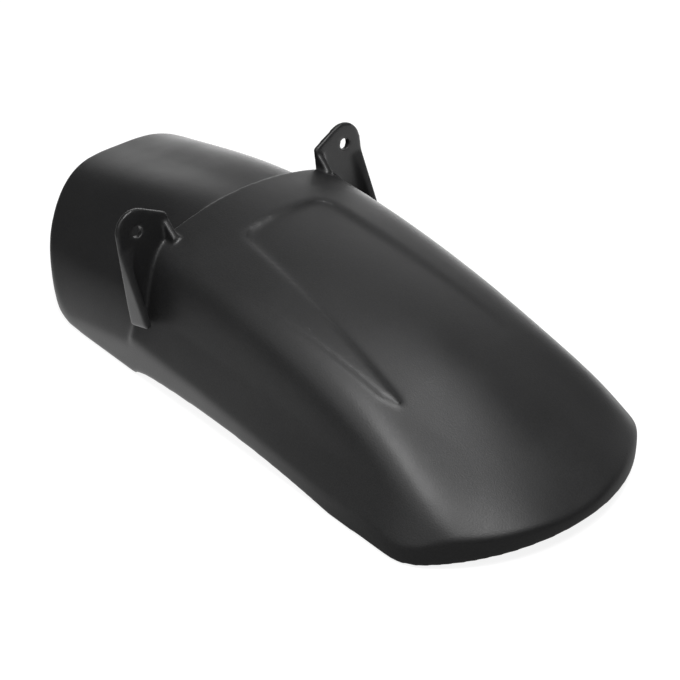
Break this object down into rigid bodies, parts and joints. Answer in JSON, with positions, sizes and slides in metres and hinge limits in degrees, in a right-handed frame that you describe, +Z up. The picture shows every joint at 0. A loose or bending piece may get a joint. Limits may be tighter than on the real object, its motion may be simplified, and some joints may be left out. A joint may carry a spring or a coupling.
{
  "type": "motorcycle rear fender",
  "caption": "Moulded black plastic rear inner fender for a motorcycle: arched mudguard shell with a stepped front section, recessed top panel, skirted sides and upright mounting ears.",
  "frame": {"origin": "middle of the length and width, on the floor the fender stands on", "axes": "+X forward from the tail to the front section, +Y to the left, +Z up"},
  "size_m": [0.3666, 0.1654, 0.0944],
  "materials": {
    "black_plastic": "satin, fine moulded grain"
  },
  "bodies": {
    "root": {"fender": "black_plastic"}
  },
  "joints": []
}
